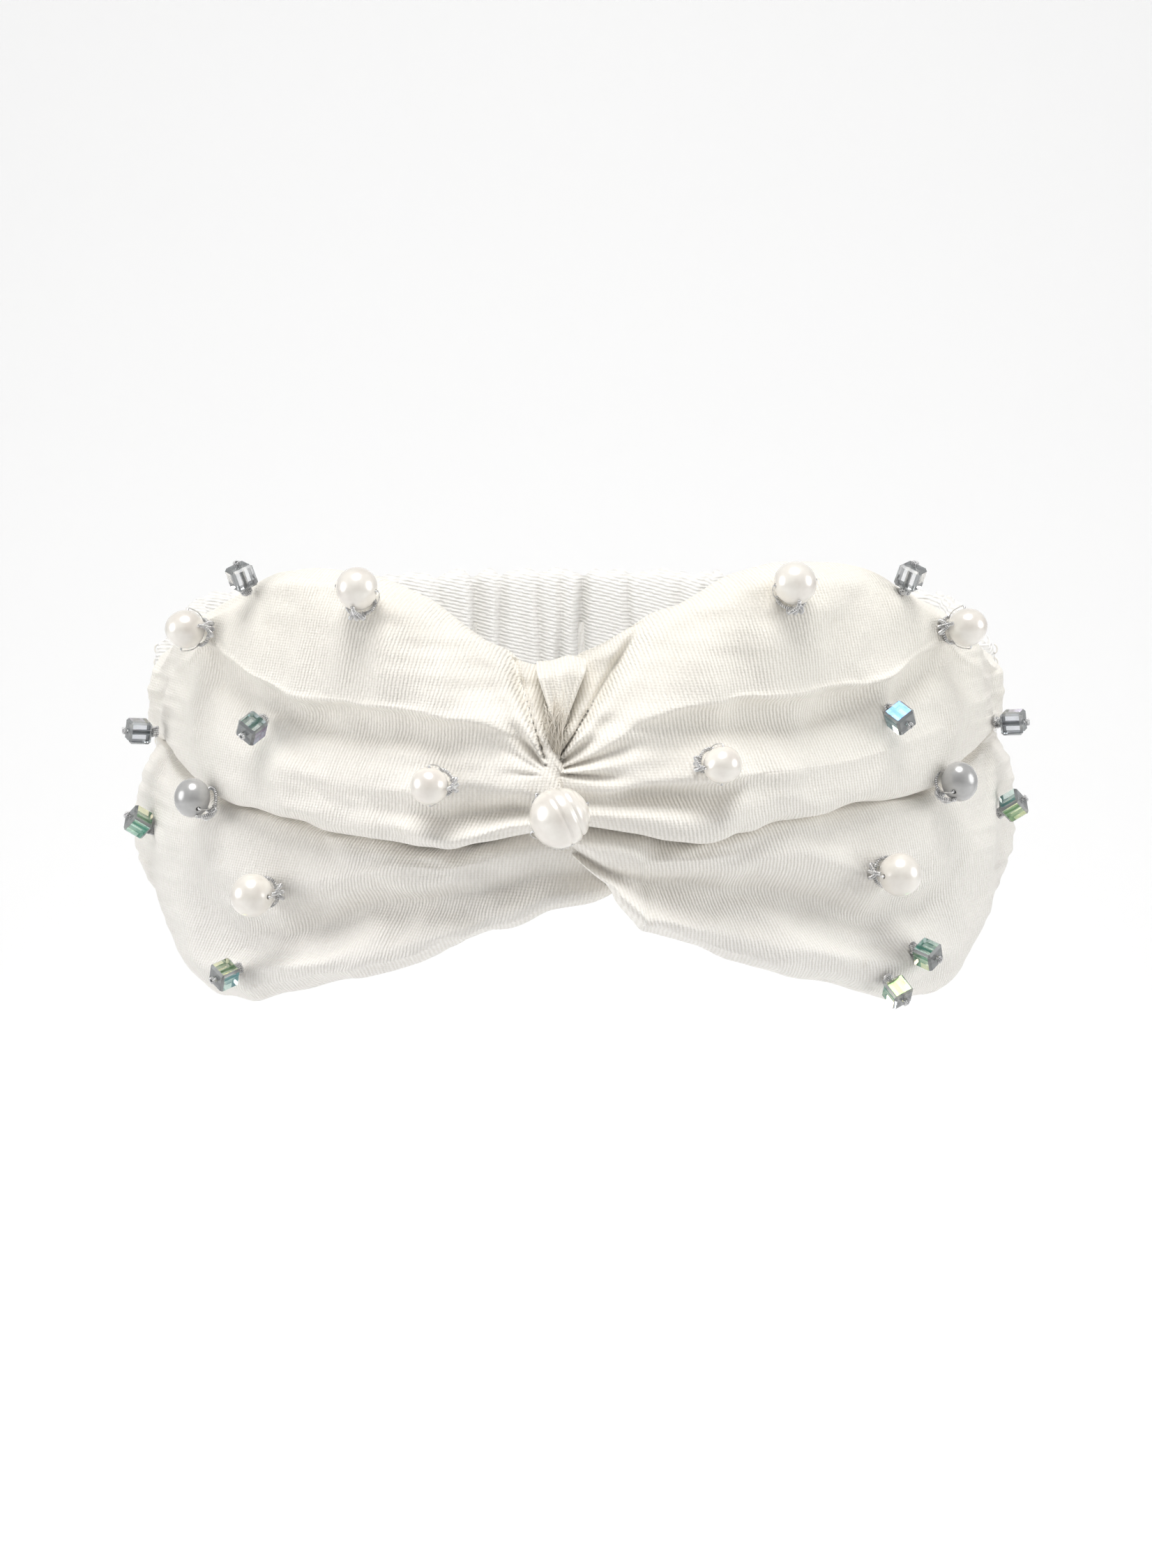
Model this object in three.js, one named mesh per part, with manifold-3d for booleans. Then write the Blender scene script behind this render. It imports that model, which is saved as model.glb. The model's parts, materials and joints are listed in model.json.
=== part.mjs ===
// Twisted fabric headband, sewn with pearls and crystal cubes.
//
// Two padded fabric loops hook through each other at the front centre. Their gathered ends are
// sewn to a ruched casing that goes round the back of the head with a flat elastic inside.
// Millimetres, +Z up, origin at the centre of the head opening. The knot is on the -Y side.
import * as THREE from "three";
import { mergeVertices } from "three/addons/utils/BufferGeometryUtils.js";
import Module from "manifold-3d";

const wasm = await Module();
wasm.setup();

// ---- Driving dimensions ----------------------------------------------------------------------

// The head opening is an ellipse seen from above.
const HEAD_HALF_WIDTH = 74.5;
const HEAD_HALF_DEPTH = 75;

// Angles run round the ring in degrees: 0 is the front centre and 180 the back centre.
const SEAM_ANGLE = 100;
const STRETCH_ANGLE = 140;
const SEAM_GAP = 0.4;

// Heights of the arms' edges by angle, for one side; the other side mirrors them.
const UPPER_TOP = [[13.5, 22], [19, 31], [26, 37.5], [34, 38.5], [39, 38], [46, 34.2], [53, 31],
  [59, 27.4], [70, 19.8], [80, 17], [100, 15]];
const UPPER_LOW = [[13.5, 8.3], [18, -2], [23, -8], [32, -9.5], [50, -6], [70, -3.5], [100, -2.5]];
const LOWER_TOP = [[13.5, -0.3], [18, -4.5], [23, -9.8], [32, -11], [50, -7.5], [70, -5], [100, -4]];
const LOWER_LOW = [[13.5, -14], [24, -28], [38, -37.5], [48, -39.5], [55, -36.5], [61, -29.5],
  [67, -25.5], [80, -20], [100, -17]];

// Inner and outer faces of an arm, as offsets out from the head ellipse.
const FRONT_LEG_INNER = [[13.5, 10], [20, 3], [30, 1], [60, 0.5], [100, 0]];
const FRONT_LEG_OUTER = [[13.5, 19], [17, 18.8], [22, 15.5], [30, 11.8], [45, 9.5], [60, 8],
  [78, 5.5], [100, 4.8]];
const BACK_LEG_INNER = [[13.5, 0.4], [30, 0.3], [60, 0], [100, 0]];
const BACK_LEG_OUTER = [[13.5, 9.2], [20, 10], [30, 10], [45, 9], [60, 8], [78, 5.5], [100, 4.8]];

// Where the arms are sliced, from the seam to the knot, and how their slices are rounded.
const ARM_ANGLES = [99.6, 90, 80, 71, 64, 58, 52, 46, 40, 34, 28, 22.5, 18];
const LOOP_SIDES = 12;
const ARM_ROUNDNESS = 0.75;

// The knot: each loop's gathered bundle makes a U round the other's. The U's legs lie above and
// below the knot's middle, one in front and one behind, and are wider than they are deep.
const KNOT_HEIGHT = 4;
const LEG_HEIGHT = 11.3;
const LEG_DEPTH = 4.9;
const BEND_REACH = 10.5;
const BUNDLE_HALF_WIDTH = 7;
const LEG_HALF_DEPTH = 4.3;
const BEND_HALF_DEPTH = 3.2;
const BEND_TURNS = [90, 68, 45, 22, 0, -22, -45, -68, -90];
const LEG_STEPS = [18, 9];
const KNOT_MID_OFFSET = 9.7;

// Back casing and its elastic.
const CASING_HALF_HEIGHT = 23;
const CASING_SEAM_HALF_HEIGHT = 16;
const CASING_THICKNESS = 5;
const CHANNEL_INNER = 1.6;
const CHANNEL_OUTER = 3.4;
const CHANNEL_HALF_HEIGHT = 13.5;
const ELASTIC_INNER = 2;
const ELASTIC_OUTER = 3;
const ELASTIC_HALF_HEIGHT = 13;

// Beads.
const HOLE_RADIUS = 0.62;
const THREAD_RADIUS = 0.24;
const COLLAR_TUBE = 0.42;
const CLEARANCE = 0.32;
const CUBE_SIZE = 4;
const CUBE_CHAMFER = 0.25;
const SHANK_HEIGHT = 1.3;
const SHANK_RADIUS = 1;

// Each bead of the left side: where its base stands (angle, height, offset from the head ellipse),
// how far it leans round the ring away from the knot and how far it leans up, the turn of its
// thread about its own direction, and how much higher its twin on the right side sits.
const PEARLS = [
  { name: "temple_pearl", radius: 3.6, angle: 51.2, height: 25.6,
    offset: 9.2, side: 0, up: 12, turn: 90, lift: 0.4 },
  { name: "crown_pearl", radius: 3.85, angle: 24.8, height: 33.3,
    offset: 12.7, side: -12, up: 48, turn: 0, lift: 1 },
  { name: "inner_pearl", radius: 3.4, angle: 14, height: 4.4,
    offset: 17.6, side: 24, up: -4, turn: 90, lift: 3.6 },
  { name: "grey_pearl", radius: 3.3, angle: 49.6, height: -3.7,
    offset: 9.3, side: 10, up: 8, turn: 30, lift: 3 },
  { name: "cheek_pearl", radius: 4.0, angle: 39, height: -18.2,
    offset: 10.6, side: -4, up: 0, turn: 0, lift: 3.6 },
];
const CUBES = [
  { name: "crown_cube", angle: 42.8, height: 33.2, offset: 9.2, side: 4, up: 66, turn: 20, lift: 0 },
  { name: "side_cube", angle: 65.8, height: 5.6, offset: 7.4, side: 6, up: 4, turn: 8, lift: 1.6 },
  { name: "brow_cube", angle: 39, height: 12.4, offset: 10.8, side: 6, up: -26, turn: 35, lift: 1.8 },
  { name: "low_side_cube", angle: 66.6, height: -12.6, offset: 7.7, side: 4, up: 32, turn: 40, lift: 3 },
  { name: "jaw_cube", angle: 44, height: -32.4, offset: 9.9, side: 10, up: -16, turn: 30, lift: 3.6 },
];
// Beads with no twin.
const CENTRE_PEARL = {
  name: "centre_pearl", radius: 5.4, angle: -1.6, height: -3.2,
  offset: 19.2, side: 0, up: 30, turn: 30,
};
const RIM_CUBE = { name: "rim_cube", angle: 39.8, height: -33.4, offset: 9.9, side: 6, up: -40, turn: 25 };

// Colours and finishes.
const FABRIC = new THREE.MeshStandardMaterial({ color: 0xf3efe8, roughness: 0.75, metalness: 0 });
const CASING_FABRIC = new THREE.MeshStandardMaterial({ color: 0xefece8, roughness: 0.8, metalness: 0 });
const ELASTIC = new THREE.MeshStandardMaterial({ color: 0xf2f0ec, roughness: 0.9, metalness: 0 });
const THREAD = new THREE.MeshStandardMaterial({ color: 0xece8e0, roughness: 0.7, metalness: 0 });
const SILVER = new THREE.MeshStandardMaterial({ color: 0xb9b9b4, roughness: 0.3, metalness: 1 });
const PEARL = new THREE.MeshStandardMaterial({ color: 0xf2ece4, roughness: 0.22, metalness: 0 });
const GREY_PEARL = new THREE.MeshStandardMaterial({ color: 0x9c9994, roughness: 0.25, metalness: 0 });
const CRYSTAL = new THREE.MeshStandardMaterial({ color: 0x9db0b4, roughness: 0.05, metalness: 0.1 });

// ---- Ring geometry ---------------------------------------------------------------------------

// The head ellipse's outward direction at an angle.
function ringNormal(angle) {
  const a = THREE.MathUtils.degToRad(angle);
  return new THREE.Vector3(Math.sin(a) / HEAD_HALF_WIDTH, -Math.cos(a) / HEAD_HALF_DEPTH, 0).normalize();
}

// The point at an angle and a height, so far out from the head ellipse.
function ringPoint(angle, height, offset) {
  const a = THREE.MathUtils.degToRad(angle);
  const onHead = new THREE.Vector3(HEAD_HALF_WIDTH * Math.sin(a), -HEAD_HALF_DEPTH * Math.cos(a), height);
  return onHead.addScaledVector(ringNormal(angle), offset);
}

// A smooth function of the angle through the given [angle, value] pairs.
function profile(pairs) {
  const curve = new THREE.CubicInterpolant(pairs.map((p) => p[0]), pairs.map((p) => p[1]), 1);
  return (angle) => curve.evaluate(Math.abs(angle))[0];
}

// ---- Solids ----------------------------------------------------------------------------------

// A block bent to a shape: place() takes shares along, across and through it, each 0 to 1.
function bentBlock(along, across, place) {
  const block = new THREE.BoxGeometry(1, 1, 1, along, across, 1);
  const at = block.getAttribute("position");
  for (let i = 0; i < at.count; i += 1) {
    const p = place(at.getX(i) + 0.5, at.getY(i) + 0.5, at.getZ(i) + 0.5);
    at.setXYZ(i, p.x, p.y, p.z);
  }
  return block;
}

function toSolid(geometry) {
  const bare = geometry.clone();
  bare.deleteAttribute("normal");
  bare.deleteAttribute("uv");
  const merged = mergeVertices(bare, 1e-4);
  const triVerts = new Uint32Array(merged.index.array);
  const vertProperties = merged.getAttribute("position").array;
  return new wasm.Manifold(new wasm.Mesh({ numProp: 3, vertProperties, triVerts }));
}

function toGeometry(solid) {
  const made = solid.getMesh();
  const geometry = new THREE.BufferGeometry();
  geometry.setAttribute("position", new THREE.BufferAttribute(new Float32Array(made.vertProperties), 3));
  geometry.setIndex(new THREE.BufferAttribute(new Uint32Array(made.triVerts), 1));
  geometry.computeVertexNormals();
  return geometry;
}

// A polygon outline of a circle.
function circle(radius, sides, Outline = THREE.Shape) {
  const corners = Array.from({ length: sides }, (_, i) => {
    const a = (2 * Math.PI * i) / sides;
    return new THREE.Vector2(radius * Math.cos(a), radius * Math.sin(a));
  });
  return new Outline(corners);
}

// A round rod along a smooth line through the points.
function rod(points, radius, sides, steps) {
  const extrudePath = new THREE.CatmullRomCurve3(points);
  return new THREE.ExtrudeGeometry(circle(radius, sides), { steps, extrudePath, bevelEnabled: false });
}

// ---- Fabric loops ----------------------------------------------------------------------------

// A slice across an arm at an angle: its middle, and how wide and deep it is each way from there.
function armSlice(side, angle, edges) {
  const [low, top, inner, outer] = edges.map((pairs) => profile(pairs)(angle));
  const middle = ringPoint(side * angle, (top + low) / 2, (inner + outer) / 2);
  const [halfWidth, halfDepth] = [(top - low) / 2, (outer - inner) / 2];
  return { middle, out: ringNormal(side * angle), halfWidth, halfDepth, roundness: ARM_ROUNDNESS };
}

// The slices of the bundle: along its upper leg, round the other loop and back along its lower leg.
function bundleSlices(side, front) {
  const bend = BEND_TURNS.map((degrees) => {
    const a = THREE.MathUtils.degToRad(degrees);
    return [-BEND_REACH * Math.cos(a), Math.sin(a), Math.cos(a)];
  });
  const upper = LEG_STEPS.map((x) => [x, 1, 0]);
  const lower = LEG_STEPS.map((x) => [x, -1, 0]).reverse();
  return [...upper, ...bend, ...lower].map(([x, rise, bent]) => {
    const angle = side * THREE.MathUtils.radToDeg(Math.asin(x / (HEAD_HALF_WIDTH + KNOT_MID_OFFSET)));
    const offset = KNOT_MID_OFFSET + LEG_DEPTH * front * rise;
    const middle = ringPoint(angle, KNOT_HEIGHT + LEG_HEIGHT * rise, offset);
    const halfDepth = LEG_HALF_DEPTH + (BEND_HALF_DEPTH - LEG_HALF_DEPTH) * bent;
    return { middle, out: ringNormal(angle), halfWidth: BUNDLE_HALF_WIDTH, halfDepth, roundness: 1 };
  });
}

// A whole loop: up one arm from the seam, round the bend and back along the other arm.
// The left loop's upper arm lies in front at the knot, and so does the right loop's lower arm.
function loop(side) {
  const front = side < 0 ? 1 : -1;
  const faces = [[BACK_LEG_INNER, BACK_LEG_OUTER], [FRONT_LEG_INNER, FRONT_LEG_OUTER]];
  const upperEdges = [UPPER_LOW, UPPER_TOP, ...faces[front > 0 ? 1 : 0]];
  const lowerEdges = [LOWER_LOW, LOWER_TOP, ...faces[front > 0 ? 0 : 1]];
  const slices = [
    ...ARM_ANGLES.map((angle) => armSlice(side, angle, upperEdges)),
    ...bundleSlices(side, front),
    ...ARM_ANGLES.map((angle) => armSlice(side, angle, lowerEdges)).reverse(),
  ];
  const last = slices.length - 1;
  const body = new THREE.CylinderGeometry(1, 1, 1, LOOP_SIDES, last);
  const at = body.getAttribute("position");
  for (let i = 0; i < at.count; i += 1) {
    const k = Math.round((at.getY(i) + 0.5) * last);
    const { middle, out, halfWidth, halfDepth, roundness } = slices[k];
    const ahead = slices[Math.min(k + 1, last)].middle.clone();
    const tangent = ahead.sub(slices[Math.max(k - 1, 0)].middle).normalize();
    const depth = out.clone().addScaledVector(tangent, -tangent.dot(out)).normalize();
    const width = new THREE.Vector3().crossVectors(tangent, depth);
    const [x, z] = [at.getX(i), at.getZ(i)].map((c) => Math.sign(c) * Math.abs(c) ** roundness);
    const p = middle.clone().addScaledVector(width, x * halfWidth).addScaledVector(depth, z * halfDepth);
    at.setXYZ(i, p.x, p.y, p.z);
  }
  return body;
}

// ---- Back casing and elastic -----------------------------------------------------------------

// The casing is narrow where it is gathered into a seam, and full height round the back.
const casingHalfHeight = profile([
  [SEAM_ANGLE, CASING_SEAM_HALF_HEIGHT], [112, CASING_HALF_HEIGHT - 1.5],
  [125, CASING_HALF_HEIGHT], [235, CASING_HALF_HEIGHT],
  [248, CASING_HALF_HEIGHT - 1.5], [360 - SEAM_ANGLE, CASING_SEAM_HALF_HEIGHT],
]);

// A strip round the back between two angles and two faces.
function strip(from, to, along, halfHeight, inner, outer) {
  return bentBlock(along, 1, (u, v, w) => {
    const angle = from + (to - from) * u;
    return ringPoint(angle, (2 * v - 1) * halfHeight(angle), inner + w * (outer - inner));
  });
}

// One stretch of the casing, with the channel that the elastic runs through.
function casing(from, to, along) {
  const wall = strip(from, to, along, casingHalfHeight, 0, CASING_THICKNESS);
  const channel = strip(from - 1, to + 1, along, () => CHANNEL_HALF_HEIGHT, CHANNEL_INNER, CHANNEL_OUTER);
  return toGeometry(toSolid(wall).subtract(toSolid(channel)));
}

function elastic(from, to, along) {
  return strip(from, to, along, () => ELASTIC_HALF_HEIGHT, ELASTIC_INNER, ELASTIC_OUTER);
}

// The zigzag stitching over a side seam.
function seamStitch(side) {
  const crossings = 12;
  const points = Array.from({ length: crossings + 1 }, (_, i) => {
    const height = -13 + (26 * i) / crossings;
    const swing = i % 2 ? 1.3 : -1.3;
    return ringPoint(side * (SEAM_ANGLE + swing), height, 6.6);
  });
  return rod(points, THREAD_RADIUS, 4, crossings * 2);
}

// ---- Beads -----------------------------------------------------------------------------------

// A bead's frame: +Y stands away from the fabric and +X runs along its thread.
function beadFrame(bead, side) {
  const normal = ringNormal(side * bead.angle);
  const round = new THREE.Vector3(0, 0, 1).cross(normal).multiplyScalar(side);
  const [lean, up, turn] = [bead.side, bead.up, bead.turn].map(THREE.MathUtils.degToRad);
  const out = normal.clone().multiplyScalar(Math.cos(lean)).addScaledVector(round, Math.sin(lean));
  out.multiplyScalar(Math.cos(up)).setZ(Math.sin(up));
  const thread = round.clone().addScaledVector(out, -round.dot(out)).normalize();
  thread.applyAxisAngle(out, side * turn);
  const cross = new THREE.Vector3().crossVectors(thread, out);
  const lift = side > 0 ? bead.lift ?? 0 : 0;
  const place = new THREE.Matrix4().makeBasis(thread, out, cross);
  return place.setPosition(ringPoint(side * bead.angle, bead.height + lift, bead.offset));
}

// How high a pearl's centre stands over its base, so that it clears the collar.
function pearlCentre(radius) {
  const collar = 0.6 * radius;
  return COLLAR_TUBE + Math.sqrt((radius + COLLAR_TUBE + CLEARANCE) ** 2 - collar ** 2);
}

// A pearl drilled along X, turned about its drill hole.
function pearl(radius) {
  const halfLength = 0.94 * radius;
  const points = Array.from({ length: 7 }, (_, i) => {
    const a = THREE.MathUtils.degToRad(-80 + (160 * i) / 6);
    return new THREE.Vector2(Math.max(HOLE_RADIUS + 0.2, radius * Math.cos(a)), halfLength * Math.sin(a));
  });
  const end = halfLength * 0.99;
  const hole = [new THREE.Vector2(HOLE_RADIUS, end), new THREE.Vector2(HOLE_RADIUS, -end)];
  const body = new THREE.LatheGeometry([...points, ...hole, points[0]], 10);
  return body.rotateZ(Math.PI / 2).translate(0, pearlCentre(radius), 0);
}

// A pearl's setting: a collar of silver wire on the fabric, and the thread through the pearl.
function pearlSetting(radius) {
  const collarRadius = 0.6 * radius;
  const ring = circle(COLLAR_TUBE, 4).getPoints(1);
  const section = ring.map((p) => new THREE.Vector2(collarRadius + p.x, COLLAR_TUBE + p.y));
  const collar = new THREE.LatheGeometry([...section, section[0]], 10);
  const height = pearlCentre(radius);
  const half = [[0.5 * radius, height], [radius, height], [radius + 0.45, height - 0.05],
    [radius + 0.85, height * 0.75], [radius * 0.98, height * 0.36], [collarRadius, COLLAR_TUBE]];
  const right = half.map(([x, y]) => new THREE.Vector3(x, y, 0));
  const left = half.map(([x, y]) => new THREE.Vector3(-x, y, 0)).reverse();
  const thread = rod([...left, ...right], THREAD_RADIUS, 4, 18);
  return toGeometry(toSolid(collar).add(toSolid(thread)));
}

// A crystal cube drilled along Y.
function cube() {
  const half = CUBE_SIZE / 2;
  const cut = half - CUBE_CHAMFER;
  const corners = [[half, -cut], [half, cut], [cut, half], [-cut, half],
    [-half, cut], [-half, -cut], [-cut, -half], [cut, -half]];
  const square = new THREE.Shape(corners.map(([x, y]) => new THREE.Vector2(x, y)));
  square.holes.push(circle(HOLE_RADIUS, 8, THREE.Path));
  const body = new THREE.ExtrudeGeometry(square, { depth: CUBE_SIZE, bevelEnabled: false });
  return body.rotateX(-Math.PI / 2).translate(0, SHANK_HEIGHT + CLEARANCE, 0);
}

// A cube's shank: coils of silver thread, the thread through the cube, and its end knot.
function cubeShank() {
  const top = SHANK_HEIGHT + 2 * CLEARANCE + CUBE_SIZE;
  const outline = [[0, 0], [0.8, 0], [SHANK_RADIUS, 0.3], [0.75, 0.65], [SHANK_RADIUS, 1],
    [0.7, SHANK_HEIGHT], [THREAD_RADIUS, SHANK_HEIGHT], [THREAD_RADIUS, top],
    [0.75, top + 0.1], [0.7, top + 0.5], [0, top + 0.7]];
  return new THREE.LatheGeometry(outline.map(([x, y]) => new THREE.Vector2(x, y)), 6);
}

// ---- Assembly --------------------------------------------------------------------------------

const headband = new THREE.Group();

function add(name, geometry, material, place) {
  const mesh = new THREE.Mesh(geometry, material);
  mesh.name = name;
  if (place) place.decompose(mesh.position, mesh.quaternion, mesh.scale);
  headband.add(mesh);
  return mesh;
}

// A pearl turns on the thread through it.
function addPearl(bead, side, name) {
  const place = beadFrame(bead, side);
  add(`${name}_setting`, pearlSetting(bead.radius), SILVER, place);
  const body = add(name, pearl(bead.radius), bead.name === "grey_pearl" ? GREY_PEARL : PEARL, place);
  body.userData.hinge = { through: [0, pearlCentre(bead.radius), 0], along: [1, 0, 0] };
}

// A cube spins on its shank.
function addCube(bead, side, name) {
  const place = beadFrame(bead, side);
  add(`${name}_shank`, cubeShank(), SILVER, place);
  const body = add(name, cube(), CRYSTAL, place);
  body.userData.hinge = { through: [0, SHANK_HEIGHT + CLEARANCE + CUBE_SIZE / 2, 0], along: [0, 1, 0] };
}

for (const [side, hand] of [[-1, "left"], [1, "right"]]) {
  add(`${hand}_loop`, loop(side), FABRIC);
  add(`${hand}_seam_stitch`, seamStitch(side), THREAD);
  for (const bead of PEARLS) addPearl(bead, side, `${hand}_${bead.name}`);
  for (const bead of CUBES) addCube(bead, side, `${hand}_${bead.name}`);
}
addPearl(CENTRE_PEARL, 1, CENTRE_PEARL.name);
addCube(RIM_CUBE, 1, `right_${RIM_CUBE.name}`);

// The back, from the right seam round to the left one. Its sides stretch and its middle moves back.
const stretches = [
  ["right_side", SEAM_ANGLE, STRETCH_ANGLE, 5],
  ["back", STRETCH_ANGLE, 360 - STRETCH_ANGLE, 9],
  ["left_side", 360 - STRETCH_ANGLE, 360 - SEAM_ANGLE, 5],
];
for (const [where, from, to, along] of stretches) {
  add(`${where}_casing`, casing(from + SEAM_GAP, to - SEAM_GAP, along), CASING_FABRIC);
  add(`${where}_elastic`, elastic(from + SEAM_GAP, to - SEAM_GAP, along), ELASTIC);
}

export default headband;
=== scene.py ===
"""Looks of the twisted headband: folded cloth loops, ruched casing, pearls and crystal cubes.

Metres, in the CAD model's frame: +Z up, the knot on the -Y side, origin at the head opening's
centre. Tables here are in millimetres and degrees, and ring() turns them into places.
"""
import json
import math

import bmesh
import bpy
import numpy as np
from mathutils import Matrix, Vector


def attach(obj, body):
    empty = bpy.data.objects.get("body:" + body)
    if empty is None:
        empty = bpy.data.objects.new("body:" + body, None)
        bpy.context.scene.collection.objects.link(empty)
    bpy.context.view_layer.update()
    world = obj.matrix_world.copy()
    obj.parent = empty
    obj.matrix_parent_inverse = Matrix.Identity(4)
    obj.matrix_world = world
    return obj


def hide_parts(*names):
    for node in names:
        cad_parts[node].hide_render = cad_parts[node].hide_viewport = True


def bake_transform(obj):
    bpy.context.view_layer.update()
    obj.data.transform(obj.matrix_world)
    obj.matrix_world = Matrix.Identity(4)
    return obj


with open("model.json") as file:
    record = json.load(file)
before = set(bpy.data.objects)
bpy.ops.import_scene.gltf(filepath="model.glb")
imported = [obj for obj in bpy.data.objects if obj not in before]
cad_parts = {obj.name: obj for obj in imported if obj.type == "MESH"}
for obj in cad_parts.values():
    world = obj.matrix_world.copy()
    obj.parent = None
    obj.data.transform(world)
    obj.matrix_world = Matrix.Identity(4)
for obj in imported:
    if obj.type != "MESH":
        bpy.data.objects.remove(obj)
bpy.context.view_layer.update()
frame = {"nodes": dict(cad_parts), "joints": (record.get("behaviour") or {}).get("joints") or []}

MM = 0.001
HEAD_HALF_WIDTH = 74.5
HEAD_HALF_DEPTH = 75.0


# ---- Ring geometry -------------------------------------------

def ring(angle, height, offset):
    """Places in metres from angles round the ring, heights and offsets out from the head."""
    a = np.radians(angle)
    n = np.stack([np.sin(a) / HEAD_HALF_WIDTH, -np.cos(a) / HEAD_HALF_DEPTH], -1)
    n /= np.linalg.norm(n, axis=-1, keepdims=True)
    x = HEAD_HALF_WIDTH * np.sin(a) + offset * n[..., 0]
    y = -HEAD_HALF_DEPTH * np.cos(a) + offset * n[..., 1]
    return np.stack([x, y, height + 0 * x], -1) * MM


def smooth_step(x, a, b):
    t = np.clip((x - a) / (b - a), 0, 1)
    return t * t * (3 - 2 * t)


def cubic(t, h, start, end, slope_in, slope_out):
    """A Hermite cubic over a step of length h, at t from 0 to 1."""
    return ((2 * t**3 - 3 * t**2 + 1) * start + (t**3 - 2 * t**2 + t) * h * slope_in
            + (-2 * t**3 + 3 * t**2) * end + (t**3 - t**2) * h * slope_out)


def through(xs, ys, x):
    """A monotone cubic through the points (xs, ys), which may hold several columns."""
    xs, ys = np.asarray(xs, float), np.asarray(ys, float)
    step = np.diff(xs).reshape(-1, *[1] * (ys.ndim - 1))
    slope = np.diff(ys, axis=0) / step
    inner = np.where(slope[1:] * slope[:-1] > 0,
                     2 * slope[1:] * slope[:-1] / (slope[1:] + slope[:-1] + 1e-12), 0)
    m = np.concatenate([slope[:1], inner, slope[-1:]])
    i = np.clip(np.searchsorted(xs, x) - 1, 0, len(xs) - 2)
    h = step[i]
    t = ((x - xs[i]).reshape(-1, *[1] * (ys.ndim - 1))) / h
    return cubic(t, h, ys[i], ys[i + 1], m[i], m[i + 1])


def closed_spline(points, count):
    """Samples a smooth closed line through each row of points (rows, corners, 2)."""
    nxt = np.roll(points, -1, 1)
    gap = np.sqrt(np.linalg.norm(nxt - points, axis=2).mean(0)) + 1e-6
    before = np.roll(gap, 1)
    forward = (nxt - points) / gap[None, :, None]
    back = np.roll(forward, 1, 1)
    w = (before / (before + gap))[None, :, None]
    tangent = forward * w + back * (1 - w)
    edges = np.concatenate([[0], np.cumsum(gap)])
    at = np.linspace(0, edges[-1], count, endpoint=False)
    i = np.clip(np.searchsorted(edges, at, side="right") - 1, 0, len(gap) - 1)
    t = ((at - edges[i]) / gap[i])[None, :, None]
    h = gap[i][None, :, None]
    j = (i + 1) % len(gap)
    return cubic(t, h, points[:, i], points[:, j], tangent[:, i], tangent[:, j])


# ---- Mesh helpers --------------------------------------------

def place(name, data):
    obj = bpy.data.objects.new(name, data)
    bpy.context.scene.collection.objects.link(obj)
    return obj


def mesh_points(mesh):
    points = np.zeros(len(mesh.vertices) * 3)
    mesh.vertices.foreach_get("co", points)
    return points.reshape(-1, 3)


def add_mesh(name, verts, faces, uvs=None):
    mesh = bpy.data.meshes.new(name)
    mesh.from_pydata([tuple(v) for v in verts], [], [tuple(f) for f in faces])
    mesh.validate()
    mesh.shade_smooth()
    if uvs is not None:
        layer = mesh.uv_layers.new(name="UVMap")
        loops = np.zeros(len(mesh.loops), dtype=np.int32)
        mesh.loops.foreach_get("vertex_index", loops)
        layer.data.foreach_set("uv", np.asarray(uvs)[loops].ravel())
    return place(name, mesh)


def grid_faces(rows, cols, flip=False):
    """The four-sided faces of a tube of rows that each close on themselves."""
    faces = []
    for r in range(rows - 1):
        for c in range(cols):
            d = (c + 1) % cols
            f = (r * cols + c, r * cols + d, (r + 1) * cols + d, (r + 1) * cols + c)
            faces.append(f[::-1] if flip else f)
    return faces


def skin(name, grid, flip=False, uvs=None):
    """A closed tube from rows of places (rows, cols, 3), with an end face at each end."""
    rows, cols, _ = grid.shape
    verts = grid.reshape(-1, 3)
    faces = grid_faces(rows, cols, flip)
    first, last = list(range(cols)), list(range((rows - 1) * cols, rows * cols))
    faces += [first if flip else first[::-1], last[::-1] if flip else last]
    return add_mesh(name, verts, faces, uvs)


# ---- Cloth loops: what their folds do ------------------------

# Station angles from the knot to the seam, and at each the height and offset of each fold line.
AT = [3, 6.5, 10.5, 14.5, 19.5, 26, 33, 39.5, 46, 51, 56, 62, 68, 80, 90, 101]
TOP_RIM = [22.6, 23.6, 27.2, 31, 34.8, 37.8, 38.4, 37.4, 34.4, 31.8, 29.2, 26, 21.5, 17.5, 16, 15]
UPPER_PUFF = [7.5, 9.5, 11.5, 13, 13.8, 13.6, 12.4, 10.6, 9.8, 9.2, 8.3, 7.6, 6.4, 3.7, 3, 3.8]
PUFF_LOW = [11, 12.5, 14, 15.2, 15.2, 14.6, 13, 11.8, 10.8, 9.6, 8.6, 7.9, 6.6, 3.9, 3.1, 3.9]
RIDGE = [9.5, 12.6, 14.4, 15.4, 16.3, 16.8, 17.4, 19, 22, 23.4, 20.5, 17.5, 14, 10.5, 9, 8.5]
RIDGE_OUT = [16.6, 16.9, 17.2, 17.4, 16.5, 15.2, 13.7, 12.6, 11.4, 10, 8.8, 8.1, 6.9, 4.2, 3.3, 4]
CREASE = [0.6, 1.3, 2.2, 3.2, 4.1, 4.8, 4.9, 4.2, 3.2, 1.8, 0.9, 0.4, 0.2, 0.1, 0.1, 0.1]
MIDDLE_OUT = [17, 17.5, 17.9, 17.7, 16.6, 15.1, 13.6, 12.4, 11.4, 10.4, 9.4, 8.4, 7, 4.5, 3.7, 4.1]
POCKET = [2.2, 4.2, 5, 4.2, 2, 0.5, 0, 0, 0, 0, 0, 0, 0, 0, 0, 0]
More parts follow.
